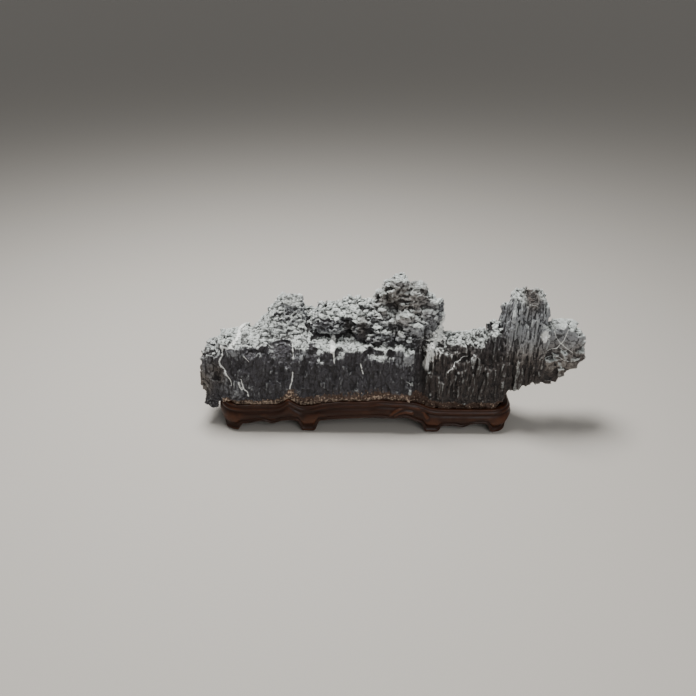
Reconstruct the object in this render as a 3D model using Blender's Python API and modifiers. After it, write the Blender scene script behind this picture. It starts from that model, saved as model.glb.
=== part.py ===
"""A scholar's rock in its carved wooden stand.

The rock is one long, wrinkled limestone: a low body with a ledge along its front, a stepped
main peak, a saddle, and a fluted pillar with a rounded head that hangs out past the stand.
The stand is cut from one block: a waved rim round a recess, a bead, a bulging apron with a
cusped lower edge, and eight small feet.

Every size here is in millimetres. X runs along the rock, Y runs back from the front feet and
Z up from the ground. X is 0 at a point 168 mm from the left end of the stand. The finished
model is in metres, and is moved so that its origin is the middle of its underside.
"""

import math
import random
from typing import NamedTuple

import bmesh
import bpy
from mathutils import Euler, Matrix, Vector
from mathutils.bvhtree import BVHTree

MM = 0.001

# The stand. Its outline is a rounded rectangle, and offsets are outwards from it.
STAND_LEFT = -168.0
STAND_RIGHT = 218.0
STAND_FRONT = 2.0
STAND_BACK = 78.0
STAND_CORNER = 24.0
RECESS_FLOOR = 30.0
RECESS_INSET = 5.5
UNDERSIDE = 24.0
FOOT_CENTRES = (-158.0, -53.0, 116.0, 206.0)
FOOT_HALF_WIDTH = 8.0
FOOT_FLANK = 7.0
LONGEST_STEP = 18.0
FIT_GAP = 0.4

# Heights of the rim's top and of the apron's lower edge, each at a distance along the front.
# Past an end of the straight front, the distance goes on round the corner.
RIM_WAVE = (
    (-150, 43), (-100, 43.5), (-88, 46.5), (-80, 51.5), (-72, 46.5), (-62, 41.5), (-50, 41),
    (-35, 44.5), (-10, 47.5), (28, 48.8), (42, 51), (60, 49.8), (88, 49), (100, 45.5),
    (112, 40), (128, 38), (195, 38.4), (230, 41),
)  # fmt: skip
APRON_WAVE = (
    (-180, 12), (-140, 12), (-116, 17), (-103, 12), (-90, 17), (-76, 18), (-50, 16), (-16, 20),
    (32, 22), (62, 21), (80, 22.5), (98, 15), (116, 10), (148, 10), (158, 7.5), (170, 12.5),
    (184, 13.5), (205, 11), (230, 12),
)  # fmt: skip

# The rock's surface. Its masses are built SKIN smaller than they are stated, and lumps stand
# out of them by about as much.
ROCK_BASE = 25.0
SKIN = 3.5
CORNER_SHIFT = 1.5
BROKEN_EDGE = 0.2
LUMP_DEPTH = 0.14
LUMP_TURN = 0.2
UNEVENNESS_SIZE = 18.0
UNEVENNESS_HEIGHT = 3.0
VOXEL = 2.4
ROCK_TRIANGLES = 6400
SEED = 11


class Mass(NamedTuple):
    """A main mass of the rock: a block whose top may lean, narrow or slope.

    left, right, front and back are its sides at the base. The tip_ values move those sides at
    the top, +X or +Y. rise lifts the top's back edge, and slope lifts its right edge.
    """

    left: float
    right: float
    front: float
    back: float
    base: float
    top: float
    tip_left: float = 0
    tip_right: float = 0
    tip_front: float = 0
    tip_back: float = 0
    rise: float = 0
    slope: float = 0


LEFT_BODY = (
    Mass(-178, -44, 3, 82, ROCK_BASE, 118, tip_front=5, tip_back=-2, rise=12, slope=5),
    Mass(-197, -168, 14, 68, 30, 108, tip_left=3, tip_front=3, rise=6, slope=5),
    Mass(-203, -176, 18, 52, 52, 104, tip_left=7, rise=4),
    Mass(-192, -176, 16, 42, 17, 62, tip_left=-10),
    Mass(-158, -48, 40, 86, 90, 132, tip_left=34, tip_front=16, rise=16, slope=8),
    Mass(-128, -40, 52, 88, 110, 153, tip_left=24, tip_front=6, slope=2),
    Mass(-108, -50, 54, 86, 130, 169, tip_left=18, tip_right=-14, tip_front=6, tip_back=-4),
    Mass(-92, -62, 56, 80, 150, 174, tip_left=6, tip_right=-4, tip_front=3),
)
LEDGE = (
    Mass(-56, 94, 3, 46, ROCK_BASE, 122, tip_front=5, rise=2),
    Mass(-56, 100, 40, 86, ROCK_BASE, 120, rise=4),
    Mass(64, 93, 3, 34, 30, 123, tip_left=3, tip_right=-3, tip_front=4, rise=4),
)
MIDDLE = (
    Mass(-46, 28, 32, 84, 100, 153, tip_left=2, tip_front=3, rise=13, slope=2),
    Mass(4, 25, 26, 50, 112, 152, tip_front=2),
)
PEAK = (
    Mass(8, 123, 26, 86, 100, 160, tip_left=16, tip_right=-1, tip_front=8, tip_back=-4),
    Mass(22, 121, 36, 82, 140, 178, tip_left=18, tip_right=-4, tip_front=6, tip_back=-4),
    Mass(36, 110, 40, 78, 160, 190, tip_left=10, tip_right=-6, tip_front=5, tip_back=-4, slope=2),
    Mass(46, 82, 44, 74, 176, 205, tip_left=7, tip_right=-7, tip_front=3, tip_back=-2),
    Mass(51, 74, 46, 70, 188, 212, tip_left=5, tip_right=-5),
    Mass(86, 101, 44, 66, 170, 197, tip_left=3, tip_right=-4, tip_back=-4),
    Mass(56, 100, 14, 54, 110, 168, tip_left=10, tip_right=-9, tip_front=18),
    Mass(104, 127, 34, 66, 96, 176, tip_left=-2, tip_right=-4, tip_front=6),
    Mass(22, 62, 18, 54, 112, 150, tip_left=8, tip_right=-4, tip_front=14),
)
RIGHT_BODY = (
    Mass(88, 134, 9, 80, ROCK_BASE, 118, tip_right=-2, tip_front=12, rise=8),
    Mass(104, 216, 5, 82, ROCK_BASE, 104, tip_front=6, tip_back=-10, slope=2),
    Mass(114, 212, 16, 64, 90, 129, tip_left=6, tip_front=4, tip_back=-8, rise=4, slope=4),
    Mass(103, 124, 5, 60, ROCK_BASE, 114, tip_left=5, tip_front=12, rise=10),
    Mass(120, 143, 3, 62, ROCK_BASE, 121, tip_left=3, tip_right=-1, tip_front=14, rise=12),
    Mass(139, 160, 6, 58, ROCK_BASE, 125, tip_left=2, tip_right=-3, tip_front=12, rise=14),
    Mass(157, 173, 3, 56, ROCK_BASE, 119, tip_front=10, rise=12),
    Mass(168, 189, 6, 56, ROCK_BASE, 133, tip_left=2, tip_right=-5, tip_front=14, rise=12),
    Mass(185, 208, 3, 58, ROCK_BASE, 143, tip_left=4, tip_right=-5, tip_front=14, rise=12),
    Mass(200, 217, 8, 54, 38, 122, tip_front=4, rise=6),
)
PILLAR = (
    Mass(203, 263, 14, 64, 86, 152, tip_left=-2, tip_front=3),
    Mass(205, 222, 8, 52, 55, 172, tip_left=-1, tip_right=-3, tip_front=6),
    Mass(218, 236, 5, 54, 57, 160, tip_left=-1, tip_right=-1, tip_front=6),
    Mass(232, 249, 9, 54, 62, 186, tip_front=4),
    Mass(245, 264, 6, 56, 67, 164, tip_left=1, tip_right=-4, tip_front=7),
    Mass(200, 264, 18, 58, 116, 180, tip_left=4, tip_right=-3, tip_front=4),
    Mass(203, 234, 14, 52, 160, 193, tip_left=7, tip_right=-2, tip_front=3, slope=4),
    Mass(230, 262, 26, 52, 160, 190, tip_right=-4, tip_front=3),
    Mass(240, 261, 14, 52, 160, 197, tip_left=-2, tip_right=-7, tip_front=3),
)
HEAD = (
    Mass(252, 313, 16, 62, 86, 147, tip_left=-2, tip_right=-6, tip_front=2),
    Mass(262, 300, 20, 56, 82, 153, tip_left=2, tip_right=-6),
    Mass(292, 318, 22, 54, 99, 138, tip_right=-4),
    Mass(258, 286, 14, 36, 74, 100, tip_left=-3, tip_right=6),
)


class Rubble(NamedTuple):
    """A field of small broken lumps that stand half out of the rock.

    from_side is the way that they are looked for: "top", "front", "back", "left" or "right".
    across and along are the field's two ranges, such as X and Y from the top. width and length
    are the ranges of a lump's two sizes, and length is upright on a side face.
    """

    from_side: str
    across: tuple
    along: tuple
    count: int
    width: tuple
    length: tuple


RUBBLE = (
    Rubble("top", (-196, 22), (8, 84), 170, (10, 17), (10, 18)),
    Rubble("top", (22, 124), (8, 80), 110, (10, 17), (10, 17)),
    Rubble("top", (106, 210), (8, 66), 50, (8, 13), (8, 15)),
    Rubble("top", (204, 262), (10, 54), 24, (8, 13), (8, 14)),
    Rubble("top", (262, 312), (18, 56), 8, (12, 20), (12, 20)),
    Rubble("front", (22, 120), (128, 204), 80, (12, 21), (8, 12)),
    Rubble("front", (-196, 92), (50, 116), 80, (8, 13), (16, 34)),
    Rubble("front", (100, 260), (46, 180), 60, (7, 10), (24, 50)),
    Rubble("front", (262, 312), (84, 144), 8, (14, 22), (14, 22)),
    Rubble("back", (-190, 100), (44, 130), 80, (10, 16), (16, 34)),
    Rubble("back", (-40, 120), (130, 200), 40, (11, 20), (8, 13)),
    Rubble("back", (100, 260), (46, 180), 70, (8, 14), (24, 54)),
    Rubble("back", (262, 312), (84, 144), 8, (14, 22), (14, 22)),
    Rubble("left", (14, 78), (30, 120), 20, (9, 14), (14, 30)),
    Rubble("right", (14, 60), (84, 180), 14, (9, 14), (12, 26)),
)

# For each way of looking: the axes of a field's two ranges, and the direction of the look.
LOOKS = {
    "top": ((0, 1), Vector((0, 0, -1))),
    "front": ((0, 2), Vector((0, 1, 0))),
    "back": ((0, 2), Vector((0, -1, 0))),
    "left": ((1, 2), Vector((1, 0, 0))),
    "right": ((1, 2), Vector((-1, 0, 0))),
}
FAR = 500.0


def clear_scene():
    for obj in list(bpy.data.objects):
        bpy.data.objects.remove(obj, do_unlink=True)


def new_collection(name):
    collection = bpy.data.collections.new(name)
    bpy.context.scene.collection.children.link(collection)
    return collection


def material(name, colour, roughness):
    made = bpy.data.materials.new(name)
    made.use_nodes = True
    shader = made.node_tree.nodes["Principled BSDF"]
    shader.inputs["Base Color"].default_value = (*colour, 1)
    shader.inputs["Roughness"].default_value = roughness
    shader.inputs["Metallic"].default_value = 0
    made.diffuse_color = (*colour, 1)
    return made


def object_from(bm, name, collection):
    """A mesh object, in metres, from a bmesh in millimetres, which it frees."""
    bmesh.ops.scale(bm, vec=Vector((MM, MM, MM)), verts=bm.verts)
    mesh = bpy.data.meshes.new(name)
    bm.to_mesh(mesh)
    bm.free()
    obj = bpy.data.objects.new(name, mesh)
    collection.objects.link(obj)
    return obj


def apply_modifiers(obj):
    graph = bpy.context.evaluated_depsgraph_get()
    mesh = bpy.data.meshes.new_from_object(obj.evaluated_get(graph), depsgraph=graph)
    obj.modifiers.clear()
    obj.data = mesh


def keep_largest_body(obj):
    """Deletes every loose piece of the mesh but the one with the most faces."""
    bm = bmesh.new()
    bm.from_mesh(obj.data)
    unseen = set(bm.verts)
    bodies = []
    while unseen:
        body = set()
        newly_found = [unseen.pop()]
        while newly_found:
            vert = newly_found.pop()
            body.add(vert)
            near = {edge.other_vert(vert) for edge in vert.link_edges} & unseen
            unseen -= near
            newly_found.extend(near)
        bodies.append(body)
    bodies.sort(key=len)
    for body in bodies[:-1]:
        bmesh.ops.delete(bm, geom=list(body), context="VERTS")
    bm.to_mesh(obj.data)
    bm.free()


# The stand


def wave(points, along):
    """The height at a distance along a smooth curve through the points."""
    if along <= points[0][0]:
        return points[0][1]
    if along >= points[-1][0]:
        return points[-1][1]
    last = next(i for i, point in enumerate(points) if point[0] >= along)
    (x0, z0), (x1, z1) = points[last - 1], points[last]
    before = points[max(last - 2, 0)]
    after = points[min(last + 1, len(points) - 1)]
    slope0 = (z1 - before[1]) / (x1 - before[0])
    slope1 = (after[1] - z0) / (after[0] - x0)
    t = (along - x0) / (x1 - x0)
    width = x1 - x0
    return (
        (2 * t**3 - 3 * t**2 + 1) * z0
        + (t**3 - 2 * t**2 + t) * width * slope0
        + (3 * t**2 - 2 * t**3) * z1
        + (t**3 - t**2) * width * slope1
    )


def foot_weight(along):
    """1 over a foot, 0 between feet, and a smooth flank between them."""
    distance = min(abs(along - centre) for centre in FOOT_CENTRES)
    t = min(max((FOOT_HALF_WIDTH + FOOT_FLANK - distance) / FOOT_FLANK, 0), 1)
    return t * t * (3 - 2 * t)


def lower_edge(along):
    return wave(APRON_WAVE, along) * (1 - foot_weight(along))


def half_outline(along):
    """Place and outward direction at a distance along the front half of the outline."""
    arc = STAND_CORNER * math.pi / 2
    straight_left = STAND_LEFT + STAND_CORNER
    straight_right = STAND_RIGHT - STAND_CORNER
    corner_y = STAND_FRONT + STAND_CORNER
    if along < straight_left:
        past, corner_x, side = straight_left - along, straight_left, -1
    elif along > straight_right:
        past, corner_x, side = along - straight_right, straight_right, 1
    else:
        return Vector((along, STAND_FRONT, 0)), Vector((0, -1, 0))
    angle = min(past / STAND_CORNER, math.pi / 2)
    outward = Vector((side * math.sin(angle), -math.cos(angle), 0))
    place = Vector((corner_x, corner_y, 0)) + STAND_CORNER * outward
    return place + Vector((0, max(past - arc, 0), 0)), outward


def stations():
    """Distances along the front half, close together at the feet and the cusps."""
    reach = STAND_CORNER * math.pi / 2 + (STAND_BACK - STAND_FRONT) / 2 - STAND_CORNER
    first = STAND_LEFT + STAND_CORNER - reach
    last = STAND_RIGHT - STAND_CORNER + reach
    found = {first, last}
    for centre in FOOT_CENTRES:
        for step in (0, FOOT_FLANK / 2, FOOT_FLANK):
            found |= {centre - FOOT_HALF_WIDTH - step, centre + FOOT_HALF_WIDTH + step}
    found |= {-116.0, -103.0, -88.0, -80.0, -72.0, 88.0, 148.0, 158.0, 168.0}
    ordered = sorted(found)
    filled = [ordered[0]]
    for end in ordered[1:]:
        start = filled[-1]
        steps = math.ceil((end - start) / LONGEST_STEP)
        filled += [start + (end - start) * i / steps for i in range(1, steps + 1)]
    return filled


def stand_section(along, grow):
    """(offset, height) pairs of the stand's section, from the underside out and over the rim.

    grow moves the whole surface outwards, which gives the space that the stand takes.
    """
    rim = wave(RIM_WAVE, along)
    low = lower_edge(along)
    foot = foot_weight(along)
    return (
        (-16 - grow, UNDERSIDE - grow),
        (-10 - grow, low - grow),
        (0.5 + 1.5 * foot + grow, low - grow),
        (1 + foot + grow, low + 2.2),
        (-0.2 - 0.8 * foot + grow, low + 4.8),
        (4 + grow, rim - 16),
        (3 + grow, rim - 10.5),
        (-0.8 + grow, rim - 7),
        (1.2 + grow, rim - 5),
        (1 + grow, rim - 1.6),
        (-0.6 + grow, rim + grow),
        (-4.4 - grow, rim - 0.4 + grow),
        (-RECESS_INSET - grow, RECESS_FLOOR + grow),
    )


def stand_mesh(grow=0.0):
    """The stand as rings of points lofted from its underside, out, and down into the recess."""
    front = stations()
    middle_y = (STAND_FRONT + STAND_BACK) / 2
    sections = []
    for along in front:
        place, outward = half_outline(along)
        section = stand_section(along, grow)
        sections.append([place + outward * offset + Vector((0, 0, z)) for offset, z in section])
    for section in reversed(sections[1:-1]):
        sections.append([Vector((p.x, 2 * middle_y - p.y, p.z)) for p in section])
    bm = bmesh.new()
    rings = [[bm.verts.new(p) for p in ring] for ring in zip(*sections)]
    count = len(sections)
    for low, high in zip(rings, rings[1:]):
        for i in range(count):
            j = (i + 1) % count
            bm.faces.new((low[i], low[j], high[j], high[i]))
    bm.faces.new(reversed(rings[0]))
    bm.faces.new(rings[-1])
    bmesh.ops.recalc_face_normals(bm, faces=bm.faces)
    bmesh.ops.triangulate(bm, faces=bm.faces)
    return bm


# The rock


def add_mass(bm, mass, rng):
    """A main mass as a block with broken edges."""
    cube = bmesh.ops.create_cube(bm, size=1)["verts"]
    for vert in cube:
        right, back, top = (c > 0 for c in vert.co)
        vert.co = Vector((
            mass.right - SKIN if right else mass.left + SKIN,
            mass.back - SKIN if back else mass.front + SKIN,
            mass.base + SKIN,
        ))  # fmt: skip
        if top:
            vert.co += Vector((
                mass.tip_right if right else mass.tip_left,
                mass.tip_back if back else mass.tip_front,
                mass.top - mass.base - 2 * SKIN + mass.rise * back + mass.slope * right,
            ))  # fmt: skip
            vert.co += Vector([rng.uniform(-CORNER_SHIFT, CORNER_SHIFT) for _ in range(3)])
    edges = list({edge for vert in cube for edge in vert.link_edges})
    smallest = min(mass.right - mass.left, mass.back - mass.front, mass.top - mass.base)
    bevel = BROKEN_EDGE * smallest
    bmesh.ops.bevel(bm, geom=edges, offset=bevel, segments=2, profile=0.6, affect="EDGES")


def add_lump(bm, centre, size, turn, rng):
    """A small broken lump: a block with its corners knocked about."""
    cube = bmesh.ops.create_cube(bm, size=1)["verts"]
    place = Matrix.Translation(centre) @ turn.to_matrix().to_4x4()
    for vert in cube:
        knocked = Vector([c * s * rng.uniform(0.8, 1.0) for c, s in zip(vert.co, size)])
        vert.co = place @ knocked


def add_rubble(bm, tree, field, rng):
    """Sets lumps on the rock where looks along a side's direction meet it."""
    (first, second), towards = LOOKS[field.from_side]
    for _ in range(field.count):
        start = Vector((0, 0, 0)) - FAR * towards
        start[first] = rng.uniform(*field.across)
        start[second] = rng.uniform(*field.along)
        width = rng.uniform(*field.width)
        length = rng.uniform(*field.length)
        turn = Euler([rng.uniform(-LUMP_TURN, LUMP_TURN) for _ in range(3)])
        size = (width, length, width) if field.from_side == "top" else (width, width, length)
        to_end = Vector((0, 0, 0))
        to_end[second] = length / 2
        hits = [tree.ray_cast(start + step * to_end, towards)[0] for step in (0, -1, 1)]
        if None not in hits:
            add_lump(bm, hits[0] + LUMP_DEPTH * width * towards, size, turn, rng)


def add_unevenness(obj):
    """Pushes the surface in and out along its normals by a soft noise."""
    noise = bpy.data.textures.new("unevenness", "CLOUDS")
    noise.noise_scale = UNEVENNESS_SIZE * MM
    displace = obj.modifiers.new("unevenness", "DISPLACE")
    displace.texture = noise
    displace.texture_coords = "GLOBAL"
    displace.strength = UNEVENNESS_HEIGHT * MM


def make_rock(collection):
    rng = random.Random(SEED)
    bm = bmesh.new()
    for mass in LEFT_BODY + LEDGE + MIDDLE + PEAK + RIGHT_BODY + PILLAR + HEAD:
        add_mass(bm, mass, rng)
    tree = BVHTree.FromBMesh(bm)
    for field in RUBBLE:
        add_rubble(bm, tree, field, rng)
    rock = object_from(bm, "stone", collection)
    remesh = rock.modifiers.new("fuse", "REMESH")
    remesh.mode = "VOXEL"
    remesh.voxel_size = VOXEL * MM
    add_unevenness(rock)
    apply_modifiers(rock)
    keep_largest_body(rock)
    fewer = rock.modifiers.new("fewer_faces", "DECIMATE")
    fewer.ratio = ROCK_TRIANGLES / (2 * len(rock.data.polygons))
    apply_modifiers(rock)
    seat = rock.modifiers.new("seat", "BOOLEAN")
    seat.operation = "DIFFERENCE"
    seat.object = stand_space
    apply_modifiers(rock)
    keep_largest_body(rock)
    rock.data.materials.clear()
    rock.data.materials.append(material("grey_limestone", (0.11, 0.115, 0.12), 0.6))
    return rock


def make_stand(collection):
    stand = object_from(stand_mesh(), "stand", collection)
    stand.data.materials.append(material("dark_hardwood", (0.085, 0.032, 0.018), 0.4))
    stand.data.shade_smooth()
    stand.data.set_sharp_from_angle(angle=math.radians(40))
    return stand


def centre_on_underside(objects):
    """Moves the meshes so that the middle of their common underside is the origin."""
    corners = [vert.co for obj in objects for vert in obj.data.vertices]
    lowest = Vector([min(c[i] for c in corners) for i in range(3)])
    highest = Vector([max(c[i] for c in corners) for i in range(3)])
    middle = (lowest + highest) / 2
    for obj in objects:
        obj.data.transform(Matrix.Translation((-middle.x, -middle.y, -lowest.z)))


clear_scene()
parts = new_collection("scholars_rock")
cutters = new_collection("cutters")
stand_space = object_from(stand_mesh(FIT_GAP), "stand_space", cutters)
stand_space.hide_render = True
stand_space.display_type = "WIRE"
centre_on_underside([make_rock(parts), make_stand(parts)])
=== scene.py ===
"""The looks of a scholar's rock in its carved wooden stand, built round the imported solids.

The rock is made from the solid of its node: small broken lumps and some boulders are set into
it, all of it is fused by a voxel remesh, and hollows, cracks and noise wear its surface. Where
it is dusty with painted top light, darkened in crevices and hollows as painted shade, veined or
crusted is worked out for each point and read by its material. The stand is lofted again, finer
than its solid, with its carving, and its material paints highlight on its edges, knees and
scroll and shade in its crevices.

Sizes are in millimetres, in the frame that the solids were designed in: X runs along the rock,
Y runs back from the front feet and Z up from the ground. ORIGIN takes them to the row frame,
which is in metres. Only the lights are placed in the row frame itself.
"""

import itertools
import math
from typing import NamedTuple

import bmesh
import bpy
import numpy as np
from mathutils import Matrix, Vector
from mathutils.bvhtree import BVHTree


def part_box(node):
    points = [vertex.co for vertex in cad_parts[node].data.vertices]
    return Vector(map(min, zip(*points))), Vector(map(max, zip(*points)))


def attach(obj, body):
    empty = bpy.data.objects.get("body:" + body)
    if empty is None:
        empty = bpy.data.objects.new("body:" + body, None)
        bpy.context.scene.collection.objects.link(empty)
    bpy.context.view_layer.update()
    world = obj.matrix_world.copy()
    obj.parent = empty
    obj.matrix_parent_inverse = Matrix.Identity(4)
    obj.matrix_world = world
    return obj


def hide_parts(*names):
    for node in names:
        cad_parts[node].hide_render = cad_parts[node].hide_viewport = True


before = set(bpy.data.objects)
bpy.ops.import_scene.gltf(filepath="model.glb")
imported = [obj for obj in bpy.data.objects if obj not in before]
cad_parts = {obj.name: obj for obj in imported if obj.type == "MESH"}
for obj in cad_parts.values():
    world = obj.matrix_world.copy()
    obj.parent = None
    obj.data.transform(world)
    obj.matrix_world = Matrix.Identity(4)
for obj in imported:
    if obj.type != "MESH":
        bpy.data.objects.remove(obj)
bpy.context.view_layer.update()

MM = 0.001
SQUARE_CENTIMETRE = 100.0
# Corners this near to each other are welded.
SAME_PLACE = 0.01

# The stand's outline, a rounded rectangle, and what stands out of it at its lower left.
STAND_LEFT = -168.0
STAND_RIGHT = 218.0
STAND_FRONT = 2.0
STAND_BACK = 78.0
STAND_CORNER = 24.0
STAND_BULGE = 4.0
ORIGIN = np.array((
    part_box("stand")[0].x - (STAND_LEFT - STAND_BULGE) * MM,
    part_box("stand")[0].y - (STAND_FRONT - STAND_BULGE) * MM,
    0.0,
))  # fmt: skip

# The camera: how high it is, how far it is in front of the front feet, and where it looks.
CAMERA_HEIGHT = 550.0
CAMERA_DISTANCE = 774.7
CAMERA_DOWN = math.radians(28.433)
CAMERA_ROLL = math.radians(0.549)
SENSOR_WIDTH = 36.0
FOCAL_LENGTH = 35.45

# The rock's fine mesh: how far the solid shrinks under its lumps, how wide the voxels are that
# fuse them, and how many triangles are kept.
SEED = 5
INSET = 0.9
VOXEL = 1.05
MOST_TRIANGLES = 196000
# How readily faces in front are given up for that, where those behind have 1.
FRONT_THINNING = 0.8
SHARP_ANGLE = math.radians(36)


def to_row(points):
    return np.asarray(points) * MM + ORIGIN


def smooth_step(value, low, high):
    """0 up to low, 1 from high on, and a smooth rise between."""
    t = np.clip((value - low) / (high - low), 0, 1)
    return t * t * (3 - 2 * t)


# Meshes as arrays


def read_rows(items, name, width, kind):
    """One property of each of a mesh's items, as rows of width numbers."""
    flat = np.empty(len(items) * width, kind)
    items.foreach_get(name, flat)
    return flat.reshape(-1, width)


def mesh_points(mesh):
    """The mesh's points, in millimetres in the design frame."""
    return (read_rows(mesh.vertices, "co", 3, np.float32).astype(float) - ORIGIN) / MM


def set_points(mesh, points):
    mesh.vertices.foreach_set("co", to_row(points).astype(np.float32).ravel())
    mesh.update()


def mesh_normals(mesh):
    return read_rows(mesh.vertex_normals, "vector", 3, np.float32).astype(float)


def mesh_edges(mesh):
    return read_rows(mesh.edges, "vertices", 2, np.int32)


def mesh_triangles(mesh):
    mesh.calc_loop_triangles()
    return read_rows(mesh.loop_triangles, "vertices", 3, np.int32)


def smoothed(values, edges, rounds):
    """Each point's value, or row of values, averaged with its neighbours' a number of times."""
    values = np.array(values, float)
    table = values.reshape(len(values), -1)
    ends = np.concatenate([edges[:, 0], edges[:, 1]])
    others = np.concatenate([edges[:, 1], edges[:, 0]])
    count = np.maximum(np.bincount(ends, minlength=len(table)), 1)
    for _ in range(rounds):
        for column in range(table.shape[1]):
            around = np.bincount(ends, table[others, column], minlength=len(table)) / count
            table[:, column] = 0.5 * (table[:, column] + around)
    return table.reshape(values.shape)


def new_object(name, points, faces):
    mesh = bpy.data.meshes.new(name)
    mesh.from_pydata(to_row(points).tolist(), [], [tuple(face) for face in faces])
    mesh.update()
    obj = bpy.data.objects.new(name, mesh)
    bpy.context.scene.collection.objects.link(obj)
    return obj


def add_vertex_group(obj, name, weights):
    group = obj.vertex_groups.new(name=name)
    for index, weight in enumerate(weights):
        group.add((index,), float(weight), "REPLACE")


def apply_modifiers(obj):
    graph = bpy.context.evaluated_depsgraph_get()
    mesh = bpy.data.meshes.new_from_object(obj.evaluated_get(graph), depsgraph=graph)
    obj.modifiers.clear()
    obj.data = mesh


def welded(mesh):
    """A copy of the mesh whose faces share their corners."""
    bm = bmesh.new()
    bm.from_mesh(mesh)
    bmesh.ops.remove_doubles(bm, verts=bm.verts, dist=SAME_PLACE * MM)
    copy = bpy.data.meshes.new(mesh.name + "_welded")
    bm.to_mesh(copy)
    bm.free()
    return copy


def keep_largest_body(mesh):
    bm = bmesh.new()
    bm.from_mesh(mesh)
    unseen = set(bm.verts)
    bodies = []
    while unseen:
        body = [unseen.pop()]
        for vert in body:
            found = unseen.intersection(edge.other_vert(vert) for edge in vert.link_edges)
            unseen -= found
            body += found
        bodies.append(body)
    bodies.sort(key=len)
    for body in bodies[:-1]:
        bmesh.ops.delete(bm, geom=body, context="VERTS")
    bm.to_mesh(mesh)
    bm.free()


def joined(*shapes):
    """The corners and faces of several shapes as one."""
    faces = []
    first = 0
    for corners, shape_faces in shapes:
        faces += [[first + int(i) for i in face] for face in shape_faces]
        first += len(corners)
    return np.concatenate([corners for corners, _ in shapes]), faces


def split_in_triangles(faces):
    triangles = []
    for first, *others in faces:
        triangles += [(first, *pair) for pair in zip(others, others[1:])]
    return np.array(triangles)


def set_attribute(mesh, name, values):
    made = mesh.attributes.new(name, "FLOAT", "POINT")
    made.data.foreach_set("value", np.asarray(values, np.float32))


# The rock


class Lumps(NamedTuple):
    """A kind of broken surface: the lumps that stand on it, and the pieces it cracks into.

    density is how many lumps there are on a square centimetre. across is the range of their
    width, along that of their height on a side, or of their length on a top. proud is the
    range of how far they stand out. piece is the size of the pieces between cracks along X, Y
    and Z, and relief is how unevenly those stand.
    """

    density: float
    across: tuple
    along: tuple
    proud: tuple
    piece: tuple
    relief: float


RUBBLE = Lumps(3.4, (3, 8), (3, 9), (0.5, 2.6), (6, 6, 4.5), 1.5)
PAVING = Lumps(1.8, (4, 9), (4, 11), (0.2, 1.2), (9, 8, 6), 0.8)
CHUNKS = Lumps(2.4, (7, 15), (5, 9), (0.8, 3.8), (12, 10, 6.5), 2.4)
SLIVERS = Lumps(2.2, (3, 7), (7, 22), (0.2, 0.9), (5, 5, 14), 0.7)
RIDGES = Lumps(2.8, (3, 7), (14, 48), (0.5, 2.4), (5.5, 6, 40), 1.5)
PLATES = Lumps(1.0, (9, 18), (7, 15), (0.3, 1.1), (17, 15, 13), 0.8)
CRUST = Lumps(5.0, (3, 6), (2.5, 4.5), (0.5, 1.6), (4, 4, 3.2), 0.8)
KINDS = (RUBBLE, PAVING, CHUNKS, SLIVERS, RIDGES, PLATES, CRUST)

# Where each kind of surface begins or ends, along X and up Z.
HEAD_FROM = 262.0
COLUMNS_FROM = 103.0
PEAK_LEFT = -48.0
PEAK_RIGHT = 126.0
PEAK_ABOVE = 127.0
LEFT_PEAK_LEFT = -120.0
LEFT_PEAK_ABOVE = 146.0
CRUST_BELOW = 50.0
# Smoother tops: left, right, front and back.
PAVED = ((-150, -58, 18, 90), (-52, 62, -6, 30))
# How far up a face looks, as the Z of its normal, to be a top, or to be paved.
TOP_LOOK = 0.55
PAVED_LOOK = 0.35


def lump_kind(points, normals):
    """For each point, which of KINDS grows there."""
    x, y, z = points.T
    on_top = normals[:, 2] > TOP_LOOK
    paved = np.zeros(len(points), bool)
    for left, right, front, back in PAVED:
        paved |= (x > left) & (x < right) & (y > front) & (y < back)
    paved &= normals[:, 2] > PAVED_LOOK
    kind = np.full(len(points), KINDS.index(SLIVERS))
    kind[on_top] = KINDS.index(RUBBLE)
    kind[paved] = KINDS.index(PAVING)
    kind[(x > COLUMNS_FROM) & ~on_top] = KINDS.index(RIDGES)
    kind[(x > PEAK_LEFT) & (x < PEAK_RIGHT) & (z > PEAK_ABOVE)] = KINDS.index(CHUNKS)
    kind[(x > LEFT_PEAK_LEFT) & (x < PEAK_LEFT) & (z > LEFT_PEAK_ABOVE)] = KINDS.index(RUBBLE)
    kind[x > HEAD_FROM] = KINDS.index(PLATES)
    kind[z < CRUST_BELOW] = KINDS.index(CRUST)
    return kind


# The blocks that the lumps are made of. A block's root goes into the rock by half its smaller
# side and LEAST_ROOT. Those on a side look nearly level and lean a little to the left or right.
BLOCK_CORNERS = np.array(list(itertools.product((-1, 1), repeat=3)))
BLOCK_SIDES = np.array(
    [(0, 1, 3, 2), (4, 6, 7, 5), (0, 4, 5, 1), (2, 3, 7, 6), (0, 2, 6, 4), (1, 5, 7, 3)]
)
LEAST_ROOT = 1.5
MOST_OVERHANG = 0.6
SHORTER_SHARES = (1, 0.6, 0.35, 0.2)
SIDE_LOOK = 0.3
LEFT_RIGHT_LEAN = 0.14
UNEVEN_LOOK = 0.16
LEAST_CORNER = 0.7


def shortened(centres, along_axis, along, solid):
    """The lumps' lengths, less where an end would stick out of the solid."""
    kept = along.copy()
    for i, (centre, axis) in enumerate(zip(centres, along_axis)):
        for share in SHORTER_SHARES:
            kept[i] = share * along[i]
            ends = (Vector(centre + side * kept[i] / 2 * axis) for side in (-1, 1))
            nearest = [(end, solid.find_nearest(end)) for end in ends]
            if all((end - hit[0]).dot(hit[1]) < MOST_OVERHANG for end, hit in nearest):
                break
    return kept


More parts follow.
